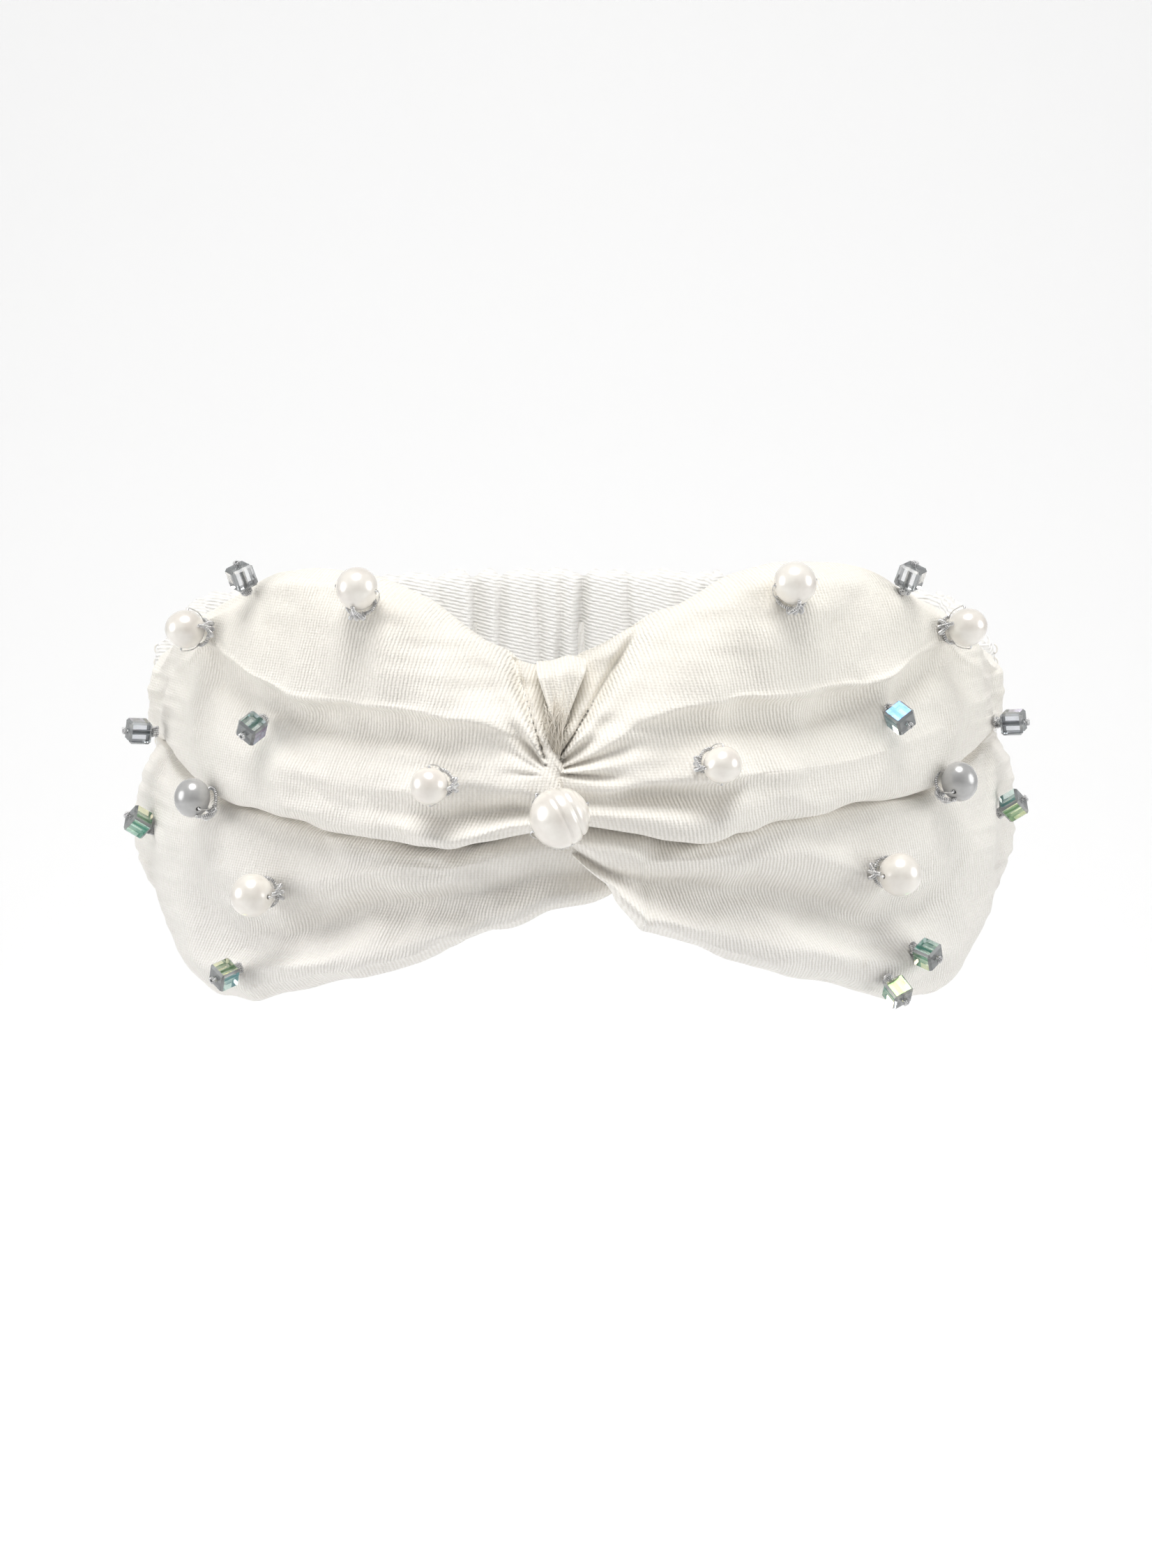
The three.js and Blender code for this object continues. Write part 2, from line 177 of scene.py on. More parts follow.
FOLD = [-3.6, -4.8, -6.3, -7.4, -7.5, -7, -6.2, -5.2, -4.2, -3.2, -1.5, 0.4, 2.8, 2, 0.8, 0.2]
LOWER_OUT = [9.5, 10.5, 11.3, 12, 12.3, 12, 11.4, 10.8, 10.5, 10.3, 10, 9.4, 8.2, 5.7, 4.4, 4.1]
LOWER_MID = [-8, -9.2, -10.4, -11.6, -12.6, -14, -16, -17.4, -17.2, -16, -14, -12, -9.5, -7, -6, -6]
VALLEY = [-12.8, -14.3, -15.8, -17, -18.6, -20.9, -23.7, -26.3,
          -26.6, -25.5, -23, -20, -17, -13, -11, -10.5]
VALLEY_IN = [3, 4.2, 5.4, 6.2, 6.7, 6.8, 6.4, 5.6, 4.6, 3.4, 2.2, 0.9, 0.4, 0.2, 0.1, 0.1]
ROLL = [-16.4, -18.4, -20.4, -22.5, -25, -27.8, -30.2, -32,
        -33.4, -32.9, -30.4, -26.4, -22.6, -16.6, -14.5, -13.5]
ROLL_OUT = [9.8, 10.6, 11.4, 12, 12.1, 11.8, 11.3, 11, 11, 11, 10.8, 10.2, 8.8, 5.8, 4.2, 4]
LOW_RIM = [-19.3, -21.7, -24, -26.3, -29.3, -32.4, -34.9, -37.4,
           -39.4, -39.6, -38, -33.4, -28.4, -21.2, -18.3, -17]

# How much higher the right side's lines lie than the left's.
RIM_LIFT = [4, 5.7, 5.2, 4.1, 3.6, 2.3, 1.2, 0.6, 0.3, 0, 0, 0, 0, 0, 0, 0]
RIDGE_LIFT = [1.5, 1.8, 2, 2, 1.8, 1.6, 1.4, 1.2, 1, 0.6, 0.3, 0.2, 0.2, 0, 0, 0]
FOLD_LIFT = [0, 0.3, 0.7, 1.2, 2.2, 3.1, 3, 2.8, 2.2, 2, 2, 2, 2, 1, 0.4, 0]
LOWER_LIFT = [0, 0.3, 0.8, 1.4, 2, 2.6, 3, 3.2, 3.2, 3, 3, 2.6, 2, 1, 0.4, 0]


def upper_sections(side):
    """Corners of an upper arm's closed slices: (stations, corners, height and offset)."""
    top, puff, low, ridge, ridge_out, crease, mid, pocket, fold = (
        np.array(line, float) for line in (TOP_RIM, UPPER_PUFF, PUFF_LOW, RIDGE, RIDGE_OUT, CREASE,
                                           MIDDLE_OUT, POCKET, FOLD))
    if side > 0:
        top += RIM_LIFT
        ridge += RIDGE_LIFT
        fold += FOLD_LIFT
    span = ridge - fold
    pocket_at = 0.24 if side < 0 else 0.33
    corners = [
        (top - 3.0, 1.2 + 0 * top),
        (top - 0.4, 0.34 * puff),
        (top - 0.6, 0.62 * puff),
        (top - 2.2, 0.86 * puff),
        (top - 0.24 * (top - ridge) - 1.2, puff),
        (ridge + 0.45 * (top - ridge), low),
        (ridge + 1.4, ridge_out - 0.2),
        (ridge, ridge_out),
        (ridge - 1.4, ridge_out - 0.75 * crease),
        (ridge - 0.16 * span - 0.8, ridge_out - crease),
        (ridge - 0.36 * span, mid - 0.5 * crease),
        (ridge - 0.56 * span, mid - 0.15),
        (fold + (pocket_at + 0.08) * span, mid + 0.1 - 0.6 * pocket),
        (fold + pocket_at * span, mid + 0.1 - pocket),
        (fold + 0.5 * pocket_at * span, mid + 0.2),
        (fold + 1.1, mid - 0.3),
        (fold, mid - 1.9),
        (fold - 0.1, mid * 0.62),
        (fold + 0.2, mid * 0.25),
        (fold + 1.2, 0.7 + 0 * fold),
        (fold + 0.5 * (top - fold), 0.5 + 0 * fold),
    ]
    return np.stack([np.stack(c, -1) for c in corners], 1)


def lower_sections(side):
    """The same for a lower arm."""
    fold, out, mid, valley, valley_in, roll, roll_out, rim = (
        np.array(line, float) for line in (FOLD, LOWER_OUT, LOWER_MID, VALLEY, VALLEY_IN, ROLL,
                                           ROLL_OUT, LOW_RIM))
    if side > 0:
        fold += FOLD_LIFT
        mid += LOWER_LIFT
        valley += LOWER_LIFT
        roll += 0.5 * np.array(LOWER_LIFT)
    corners = [
        (fold - 0.7, 0.6 + 0 * fold),
        (fold - 0.05, 0.25 * out),
        (fold - 0.15, 0.62 * out),
        (fold - 1.2, out - 2.2),
        (fold - 0.35 * (fold - mid) - 1.0, out - 0.7),
        (mid, out),
        (0.5 * (mid + valley), out - 0.35 * valley_in),
        (valley, 0.5 * (out + roll_out) - valley_in),
        (0.45 * valley + 0.55 * roll, roll_out - 0.55 * valley_in),
        (roll, roll_out),
        (0.45 * roll + 0.55 * rim, roll_out - 0.7),
        (rim + 1.3, roll_out - 2.3),
        (rim + 0.1, 0.55 * roll_out),
        (rim + 0.7, 0.25 * roll_out),
        (rim + 3.0, 0.7 + 0 * rim),
        (rim + 0.5 * (fold - rim), 0.5 + 0 * rim),
    ]
    return np.stack([np.stack(c, -1) for c in corners], 1)


def squeezed(section, height, tall, deep):
    """A slice drawn in towards a height, for where the cloth is pulled into the knot."""
    s = section.copy()
    s[:, 0] = height + (s[:, 0] - height) * tall
    s[:, 1] = s[:, 1] * deep
    return s


# Creases that run out of the crossing point: direction up from +X, depth, width, and reach.
CROSSING = (-4.6, 5.6)
PLEATS = {
    -1: [(111, 3.0, 3.2, 46), (128, 2.4, 9, 28), (151, 0.5, 6, 16), (178, 0.7, 6, 10)],
    1: [(55, 3.0, 3.2, 48), (39, 2.4, 8, 30), (19, 1.9, 4.5, 18), (9, -0.7, 4, 17),
        (-2, 2.2, 4.5, 17)],
}
THROAT_EDGE = {-1: 112, 1: 54}
THROAT_DEPTH = 2.4
THROAT_HOLLOW = (-3.6, 14.6, 2.3, 6.2)


def pleated(x, z, off, side):
    """The surface's offset once the pleats, the throat's step and its hollow are pressed in."""
    dx, dz = x - CROSSING[0], z - CROSSING[1]
    reach, turn = np.hypot(dx, dz), np.degrees(np.arctan2(dz, dx))
    for at, deep, wide, far in PLEATS[side]:
        gap = (turn - at + 180) % 360 - 180
        fade = smooth_step(reach, 0.5, 3.5) * (1 - smooth_step(reach, 0.35 * far, far))
        off = off - deep * np.exp(-(gap / wide) ** 2) * fade
    edge = THROAT_EDGE[side]
    inside = smooth_step(side * (turn - edge), -2.0, 2.5) * smooth_step(turn, 20, 35)
    inside = inside * (1 - smooth_step(turn, 150, 165)) * smooth_step(reach, 0.5, 5)
    off = off - THROAT_DEPTH * inside
    hx, hz, wide, tall = THROAT_HOLLOW
    off = off - 1.8 * np.exp(-((x - hx) / wide) ** 2 - ((z - hz) / tall) ** 2)
    return off


def soft_noise(u, v, scale, seed):
    """Smooth noise in -1..1 from a few sine waves in fixed random directions."""
    r = np.random.default_rng(seed)
    total = 0
    for _ in range(7):
        k = r.normal(size=2) * scale
        total = total + np.sin(u * k[0] + v * k[1] + r.uniform(0, 2 * math.pi))
    return total / 4.0


def met_by_beads(angle, z, off, outer, side, beads):
    """Moves the cloth to each bead's foot, with a small dimple where the thread pulls it in."""
    for bead_angle, bead_height, bead_offset in beads:
        across = (angle - side * bead_angle) * math.pi / 180 * (HEAD_HALF_WIDTH + bead_offset)
        apart = np.hypot(across, z - bead_height)
        nearest = np.argmin(apart + 1000 * (outer < 0.5))
        miss = bead_offset - 0.1 - off.ravel()[nearest]
        swell, dimple = np.exp(-((apart / 4.2) ** 2)), np.exp(-((apart / 1.3) ** 2))
        off = off + outer * (miss * swell - 0.35 * dimple)
    return off


def ring_normals(angle):
    """Level directions out from the head at angles round the ring."""
    a = np.radians(angle)
    n = np.stack([np.sin(a) / HEAD_HALF_WIDTH, -np.cos(a) / HEAD_HALF_DEPTH, 0 * a], -1)
    return n / np.linalg.norm(n, axis=-1, keepdims=True)


# The settling of the cloth: how long, how far at most in mm, and how firmly all of it is held.
SETTLE_FRAMES = 12
SETTLE_MOST = 1.5
SETTLE_HOLD = 0.1


def settled(grid, flip, angle):
    """How far each place of an arm moves, in mm, as its cloth settles.

    The cloth is cut 3% too large, lightly stuffed, and held at the knot and at the seam.
    """
    obj = skin("settling", grid, flip=flip)
    hold = obj.vertex_groups.new(name="hold")
    near_knot, near_seam = 1 - smooth_step(angle, 3, 9), smooth_step(angle, 88, 98)
    for index, weight in enumerate(np.clip(SETTLE_HOLD + near_knot + near_seam, 0, 1).ravel()):
        hold.add([index], float(weight), "REPLACE")
    cloth = obj.modifiers.new("cloth", "CLOTH")
    kind = cloth.settings
    kind.quality = 6
    kind.mass = 0.2
    kind.tension_stiffness = 12
    kind.compression_stiffness = 6
    kind.shear_stiffness = 5
    kind.bending_stiffness = 0.05
    kind.use_pressure = True
    kind.uniform_pressure_force = 1.0
    kind.shrink_min = -0.03
    kind.effector_weights.gravity = 0
    kind.vertex_group_mass = "hold"
    kind.pin_stiffness = 0.5
    cloth.point_cache.frame_end = SETTLE_FRAMES
    for step in range(1, SETTLE_FRAMES + 1):
        bpy.context.scene.frame_set(step)
    moved = obj.evaluated_get(bpy.context.evaluated_depsgraph_get())
    shift = mesh_points(moved.data).reshape(grid.shape) - grid
    for _ in range(3):
        shift = 0.5 * shift + 0.25 * (np.roll(shift, 1, 1) + np.roll(shift, -1, 1))
        shift[1:-1] = 0.5 * shift[1:-1] + 0.25 * (shift[2:] + shift[:-2])
    far = np.linalg.norm(shift, axis=2, keepdims=True)
    shift *= np.minimum(1, SETTLE_MOST * MM / np.maximum(far, 1e-9))
    bpy.data.meshes.remove(obj.data)
    bpy.context.scene.frame_set(1)
    return shift / MM


def spread(coarse, rows, cols):
    """Fills a grid in from every second row and column; the columns close on themselves."""
    fine = np.zeros((rows, cols, coarse.shape[2]))
    fine[::2, ::2] = coarse
    fine[1::2, ::2] = 0.5 * (coarse[:-1] + coarse[1:])
    fine[:, 1::2] = 0.5 * (fine[:, ::2] + np.roll(fine[:, ::2], -1, 1))
    return fine


# The arms' grids, and how far out from the head their cloth lies on average, in mm.
ARM_ROWS, ARM_COLUMNS = 211, 230
CLOTH_OUT = 8


def arm(name, side, sections, ends, seed, beads, knotted, shear=0.0):
    """An arm of a loop, from inside the knot to the seam.

    ends are (angle, squeeze height, squeeze, depth share) past the first station, and shear is
    how far, in degrees, the arm's lower edge runs past the knot.
    """
    extra = [(angle, squeezed(sections[0], h, tall, deep)) for angle, h, tall, deep in ends]
    rows, cols = ARM_ROWS, ARM_COLUMNS
    angles = np.array([e[0] for e in extra] + AT, float)
    slices = np.stack([e[1] for e in extra] + list(sections))
    share = np.linspace(0, 1, rows)
    fine = angles[0] + (angles[-1] - angles[0]) * (0.55 * share + 0.45 * share**2)
    section = closed_spline(through(angles, slices, fine), cols)
    angle = np.repeat(fine[:, None], cols, 1)
    z, off = section[..., 0], section[..., 1]
    if shear:
        angle = angle + shear * np.clip((8 - angle) / 6, 0, 1.4) * np.clip((-z - 4) / 10, 0, 1)
    x = side * (HEAD_HALF_WIDTH + off) * np.sin(np.radians(angle))
    outer = smooth_step(off, 2.0, 6.0)
    if knotted:
        off = off + (pleated(x, z, off, side) - off) * outer
    along = (HEAD_HALF_WIDTH + CLOTH_OUT) * np.radians(angle)
    soft = 0.42 * soft_noise(along * 0.35, z, 0.16, seed)
    soft = soft + 0.14 * soft_noise(along * 0.5, z, 0.42, seed + 1)
    off = off + outer * soft * smooth_step(angle, 4, 18) * (1 - 0.6 * smooth_step(angle, 80, 100))
    drawn = soft_noise(along * 0.09, z, 1.1, seed + 2) * np.exp(-((along - 8) / 26.0) ** 2)
    off = off + outer * 0.22 * drawn
    off = off + (1 - outer) * 0.35 * soft_noise(along * 0.4, z, 0.3, seed + 5) * (off < 1.5)
    gather = 0.35 * smooth_step(angle, 50, 76) + 0.65 * smooth_step(angle, 72, 101)
    ruche = np.sin(z * 1.9 + 0.8 * np.sin(along * 0.12) + seed) + 0.5 * np.sin(z * 3.3 + 1.7 + seed)
    off = off + outer * gather * 0.42 * ruche
    places = ring(side * angle, z, off)
    shift = spread(settled(places[::2, ::2], side > 0, angle[::2, ::2]), rows, cols)
    shift *= smooth_step(off, 1.5, 6.0)[..., None]
    normal = ring_normals(side * angle)
    out = (shift * normal).sum(2)
    around = (shift * np.stack([-normal[..., 1], normal[..., 0], 0 * z], -1)).sum(2)
    angle = angle + side * np.degrees(around / (HEAD_HALF_WIDTH + off))
    z = z + shift[..., 2]
    off = np.maximum(off + out, 0.3)
    off = met_by_beads(angle, z, off, outer, side, beads)
    uv = np.stack([along / 100, (z + 50) / 100], -1).reshape(-1, 2)
    return skin(name, ring(side * angle, z, off), flip=side > 0, uvs=uv)


# ---- Materials -----------------------------------------------

def node_material(name):
    """A new material, its node tree and its shader."""
    m = bpy.data.materials.new(name)
    m.use_nodes = True
    return m, m.node_tree, m.node_tree.nodes["Principled BSDF"]


def feed(tree, node, inputs):
    """Fills a node's inputs with values or with other nodes' outputs."""
    for k, v in inputs.items():
        if isinstance(v, bpy.types.NodeSocket):
            tree.links.new(v, node.inputs[k])
        else:
            node.inputs[k].default_value = v


def add_node(tree, kind, inputs, **props):
    n = tree.nodes.new("ShaderNode" + kind)
    for k, v in props.items():
        setattr(n, k, v)
    feed(tree, n, inputs)
    return n


def object_place(tree):
    return tree.nodes.new("ShaderNodeTexCoord").outputs["Object"]


def noise(tree, at, scale, detail, roughness):
    """Fractal noise over places, about 0 to 1."""
    return add_node(tree, "TexNoise", {"Vector": at, "Scale": scale, "Detail": detail,
                                       "Roughness": roughness}).outputs["Fac"]


def ramp(tree, source, stops):
    """Colours by stops along a value."""
    n = tree.nodes.new("ShaderNodeValToRGB")
    tree.links.new(source, n.inputs["Fac"])
    while len(n.color_ramp.elements) < len(stops):
        n.color_ramp.elements.new(0.5)
    for e, (pos, colour) in zip(n.color_ramp.elements, stops):
        e.position = pos
        e.color = (*colour, 1)
    return n.outputs["Color"]


def cloth_material(name, warm, cool, weave_mm, bump, lean=-12):
    """White cloth: a fine twill of slanted ribs with painted shade in their grooves, a slight change
    of tone, and a soft nap.
    """
    m, tree, bsdf = node_material(name)
    uv = add_node(tree, "UVMap", {}, uv_map="UVMap").outputs["UV"]
    obj = object_place(tree)
    scale = 100 / weave_mm / math.pi
    twill = add_node(tree, "Mapping", {"Vector": uv, "Rotation": (0, 0, math.radians(lean))})
    ribs = add_node(tree, "TexWave",
                    {"Vector": twill.outputs["Vector"], "Scale": scale, "Distortion": 1.6,
                     "Detail": 2.0, "Detail Scale": 3.0}, wave_type="BANDS", bands_direction="X")
    cross = add_node(tree, "TexWave",
                     {"Vector": uv, "Scale": scale * 1.35, "Distortion": 1.2, "Detail": 2.0,
                      "Detail Scale": 2.0}, wave_type="BANDS", bands_direction="Y")
    nap = noise(tree, obj, 2600.0, 3.0, 0.6)
    slub = noise(tree, obj, 330.0, 4.0, 0.6)
    weave = add_node(tree, "Mix",
                     {0: 0.2, 2: ribs.outputs["Fac"], 3: cross.outputs["Fac"]}, data_type="FLOAT")
    mixed = add_node(tree, "Mix", {0: 0.3, 2: weave.outputs[0], 3: nap}, data_type="FLOAT")
    broad = noise(tree, obj, 28.0, 2.0, 0.5)
    split = add_node(tree, "SeparateXYZ", {"Vector": obj})
    height = add_node(tree, "MapRange", {"Value": split.outputs["Z"], "From Min": -0.03,
                                         "From Max": 0.035})
    tone = add_node(tree, "Mix",
                    {0: 0.25, 2: height.outputs["Result"], 3: broad}, data_type="FLOAT")
    base = ramp(tree, tone.outputs[0], [(0.15, cool), (0.85, warm)])
    flecks = ramp(tree, slub, [(0.2, (0.93, 0.915, 0.89)), (0.36, (1, 1, 1))])
    dye = add_node(tree, "Mix", {0: 1.0, 6: base, 7: flecks},
                   data_type="RGBA", blend_type="MULTIPLY")
    # Painted shade: the weave's grooves and the nap's low places are darkened in the colour itself.
    painted_groove_shade = ramp(tree, mixed.outputs[0], [(0.15, (0.86, 0.85, 0.825)), (0.6, (1, 1, 1))])
    shade = add_node(tree, "Mix", {0: 0.8, 6: dye.outputs[2], 7: painted_groove_shade},
                     data_type="RGBA", blend_type="MULTIPLY")
    bumps = add_node(tree, "Bump",
                     {"Strength": bump, "Distance": 0.0003, "Height": mixed.outputs[0]})
    lumps = add_node(tree, "Bump",
                     {"Strength": 0.35, "Distance": 0.0006, "Height": slub,
                      "Normal": bumps.outputs["Normal"]})
    feed(tree, bsdf, {"Base Color": shade.outputs[2], "Normal": lumps.outputs["Normal"],
                      "Roughness": 0.85, "Sheen Weight": 0.25, "Sheen Roughness": 0.6,
                      "Specular IOR Level": 0.25})
    return m


loop_cloth = cloth_material("loop_cloth", (0.965, 0.93, 0.855), (0.95, 0.925, 0.885), 0.62, 0.8)
casing_cloth = cloth_material("casing_cloth", (0.945, 0.935, 0.91), (0.93, 0.925, 0.91), 0.7, 0.9,
                              78)
elastic_cloth = cloth_material("elastic_cloth", (0.86, 0.85, 0.82), (0.85, 0.84, 0.82), 0.9, 0.9)
# The fray's fibres are the loops' own cloth; their darker beige is painted shade for the hollow they
# lie in.
fray_fibre_painted_shade = cloth_material("fray_fibre_painted_shade", (0.84, 0.79, 0.71), (0.78, 0.74, 0.68), 0.3, 0.3)
thread_fibre = cloth_material("thread_fibre", (0.93, 0.91, 0.87), (0.93, 0.91, 0.87), 0.3, 0.5)


def nacre_material(name, light, deep):
    """Pearl: layered nacre, faintly clouded, with a thin clear gloss over a satin body."""
    m, tree, bsdf = node_material(name)
    obj = object_place(tree)
    cloud = noise(tree, obj, 260.0, 3.0, 0.55)
    tone = ramp(tree, cloud, [(0.3, deep), (0.7, light)])
    grain = noise(tree, obj, 2400.0, 4.0, 0.6)
    bump = add_node(tree, "Bump", {"Strength": 0.08, "Distance": 0.0001, "Height": grain})
    feed(tree, bsdf, {"Base Color": tone, "Normal": bump.outputs["Normal"], "Roughness": 0.24,
                      "Specular IOR Level": 0.75, "IOR": 1.62, "Coat Weight": 1.0,
                      "Coat Roughness": 0.24, "Coat IOR": 2.1})
    return m


def crystal_material(name, tint, film, clear=1.0, roughness=0.02):
    """Cut glass with a thin rainbow coat, in a tint of its own."""
    m, tree, bsdf = node_material(name)
    obj = object_place(tree)
    haze = noise(tree, obj, 300.0, 2.0, 0.5)
    darker = tuple(0.8 * c for c in tint)
    tone = ramp(tree, haze, [(0.35, darker), (0.6, tint)])
    feed(tree, bsdf, {"Base Color": tone, "Roughness": roughness, "Transmission Weight": clear,
                      "IOR": 1.56, "Thin Film Thickness": film, "Thin Film IOR": 2.0})
    return m


def silver_material():
    """Silver wire, slightly tarnished in patches."""
    m, tree, bsdf = node_material("silver")
    obj = object_place(tree)
    tarnish = noise(tree, obj, 900.0, 3.0, 0.6)
    tone = ramp(tree, tarnish, [(0.35, (0.5, 0.5, 0.51)), (0.65, (0.9, 0.9, 0.9))])
    feed(tree, bsdf, {"Base Color": tone, "Metallic": 1.0, "Roughness": 0.28})
    return m


nacre = nacre_material("nacre", (0.93, 0.90, 0.83), (0.80, 0.745, 0.68))
grey_nacre = nacre_material("grey_nacre", (0.44, 0.44, 0.435), (0.33, 0.33, 0.33))
silver = silver_material()
crystal_clear = crystal_material("crystal_clear", (0.95, 0.96, 0.97), 0)
crystal_smoke = crystal_material("crystal_smoke", (0.78, 0.80, 0.84), 0)
crystal_violet = crystal_material("crystal_violet", (0.74, 0.68, 0.80), 398)
crystal_blue = crystal_material("crystal_blue", (0.62, 0.85, 0.95), 305)
crystal_green = crystal_material("crystal_green", (0.72, 0.90, 0.80), 335)
crystal_gold = crystal_material("crystal_gold", (0.90, 0.92, 0.58), 352)
# Painted shade: the cut edges get a dark, half-clear grey that stands in for the dark that clear
# glass refracts at its edges.
crystal_painted_dark_edge = crystal_material("crystal_painted_dark_edge", (0.40, 0.42, 0.43), 0, 0.6, 0.06)


# ---- Where the beads sit -------------------------------------

COLLAR_TUBE = 0.42
BEAD_CLEARANCE = 0.32
SHANK_HEIGHT = 1.3
CUBE_SIZE = 4.0
CUBE_BEVEL = 0.42
CUBE_BORE = 0.5


def node_points(name):
    return mesh_points(frame["nodes"][name].data)


def unit(v):
    return v / np.linalg.norm(v)


def pearl_height(radius):
    """How high a pearl's centre stands over its foot, in mm."""
    reach = radius + COLLAR_TUBE + BEAD_CLEARANCE
    return COLLAR_TUBE + math.sqrt(reach**2 - (0.6 * radius) ** 2)


def bead_frames():
    """Each bead's places, axes and radius, from its joint and its setting."""
    found = {}
    for joint in frame["joints"]:
        name = joint["child"]
        if joint["type"] == "slide":
            continue
        centre, axis = np.array(joint["pos_m"]), unit(np.array(joint["axis"]))
        if name.endswith("pearl"):
            arms = node_points(name) - centre
            radius = np.linalg.norm(arms - np.outer(arms @ axis, axis), axis=1).max() / MM
            out = centre - node_points(name + "_setting").mean(0)
            out = unit(out - axis * (out @ axis))
            foot = centre - out * pearl_height(radius) * MM
        else:
            radius, out = CUBE_SIZE / 2, axis
            foot = centre - out * (SHANK_HEIGHT + BEAD_CLEARANCE + radius) * MM
            axis = unit(np.cross(out, (0, 0, 1)))
        found[name] = dict(foot=foot, centre=centre, axis=axis, out=out,
                           across=np.cross(axis, out), radius=radius)
    return found


BEADS = bead_frames()


def ring_place(point):
    """The angle, height and offset of a place in metres."""
    x, y, z = np.asarray(point) / MM
    angle = math.degrees(math.atan2(x / HEAD_HALF_WIDTH, -y / HEAD_HALF_DEPTH))
    a = math.radians(angle)
    edge = math.hypot(HEAD_HALF_WIDTH * math.sin(a), HEAD_HALF_DEPTH * math.cos(a))
    return angle, z, math.hypot(x, y) - edge


def beads_on(side, is_upper):
    """The places of the beads sewn to one arm, as (angle, height, offset) on its own side."""
    fold = np.array(FOLD, float) + (np.array(FOLD_LIFT) if side > 0 else 0)
    places = []
    for name, bead in BEADS.items():
        angle, height, offset = ring_place(bead["foot"])
        owner = 1 if name.startswith("right") else -1
        if owner == side and (height > np.interp(side * angle, AT, fold)) == is_upper:
            places.append((side * angle, height, offset))
    return places


# ---- Loops ---------------------------------------------------

def dress(obj, material, body, slot, *nodes):
    """Gives a piece its material or materials and its body, and hides the nodes it replaces; slot is
    not used.
    """
    for m in material if isinstance(material, (list, tuple)) else [material]:
        obj.data.materials.append(m)
    if body:
        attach(obj, body)
    if nodes:
        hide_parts(*nodes)
    return obj


UPPER_ENDS = {
    -1: [(-1.6, 0.0, 0.13, 0.35), (0.0, 1.0, 0.32, 0.7), (1.6, 2.0, 0.55, 0.88)],
    1: [(-4.6, 6.0, 0.26, 0.4), (-2.6, 4.9, 0.64, 0.8), (0.2, 4.4, 0.92, 0.95)],
}
LOWER_ENDS = {
    -1: [(-8.2, -11, 0.3, 0.3), (-6.2, -10.6, 0.55, 0.55), (-2, -9.9, 0.88, 0.8)],
    1: [(-3.4, -4, 0.3, 0.42), (-1.6, -4, 0.62, 0.8), (0.4, -4.5, 0.86, 0.97)],
}


def loops():
    """The four padded arms of the two loops."""
    for side, hand in ((-1, "left"), (1, "right")):
        upper = arm(f"{hand}_upper_arm", side, upper_sections(side), UPPER_ENDS[side], 3 + side,
                    beads_on(side, True), True)
        lower = lower_sections(side)
        if side > 0:
            swell = through([3, 6.5, 10.5, 14.5], [1.62, 1.5, 1.28, 1.1], np.array(AT[:4], float))
            lower[:4, :, 1] *= swell[:, None]
        low = arm(f"{hand}_lower_arm", side, lower, LOWER_ENDS[side], 9 + side,
                  beads_on(side, False), False, shear=3.4 if side > 0 else 0.0)
        for piece in (upper, low):
            dress(piece, loop_cloth, "front", "loop_fabric", f"{hand}_loop")


def knot_core():
    """The cloth that fills the throat between the two upper arms: a fan of upright pleats."""
    rows, cols = 70, 96
    t = np.linspace(0, 1, rows)
    z = 12.6 + 11.7 * t
    left = -3.4 - 4.0 * t
    right = -2.2 + 4.6 * t
    turn = np.linspace(0, 2 * math.pi, cols, endpoint=False)
    across, depth = np.cos(turn), np.sin(turn)
    square = np.maximum(np.abs(across) ** 6 + np.abs(depth) ** 6, 1e-9) ** (-1 / 6)
    across, depth = across * square, depth * square
    dome = np.sqrt(np.clip(1 - smooth_step(t, 0.72, 1.0) ** 2, 0.0025, 1))[:, None]
    middle, half = (0.5 * (left + right))[:, None], (0.5 * (right - left))[:, None]
    x = middle + half * across[None, :] * (0.85 + 0.15 * dome)
    front = 12.6 - 2.4 * t[:, None]
    off = 0.5 * (front + 0.8) + 0.5 * (front - 0.8) * depth[None, :] * dome
    outer = smooth_step(depth, 0.2, 0.8)[None, :]
    fan = (x - middle) / half
    pleat = 0.75 * np.sin(fan * 6.2 + 0.8 + 0.9 * np.sin(t * 3.0)[:, None])
    pleat = pleat + 0.35 * np.sin(fan * 13.0 + 2.0)
    off = off + outer * (pleat * (0.4 + 0.6 * t[:, None]) - 1.3 * fan) * dome
    height = z[:, None] + 0.55 * np.sin(fan * 3.4 + 0.5) * smooth_step(t, 0.6, 1)[:, None] + 0 * x
    angle = np.degrees(np.arcsin(np.clip(x / (HEAD_HALF_WIDTH + off), -1, 1)))
    uv = np.stack([x / 100, (height + 50) / 100], -1).reshape(-1, 2)
    obj = skin("knot_core", ring(angle, height, off), uvs=uv)
    dress(obj, loop_cloth, "front", "loop_fabric", "right_loop")


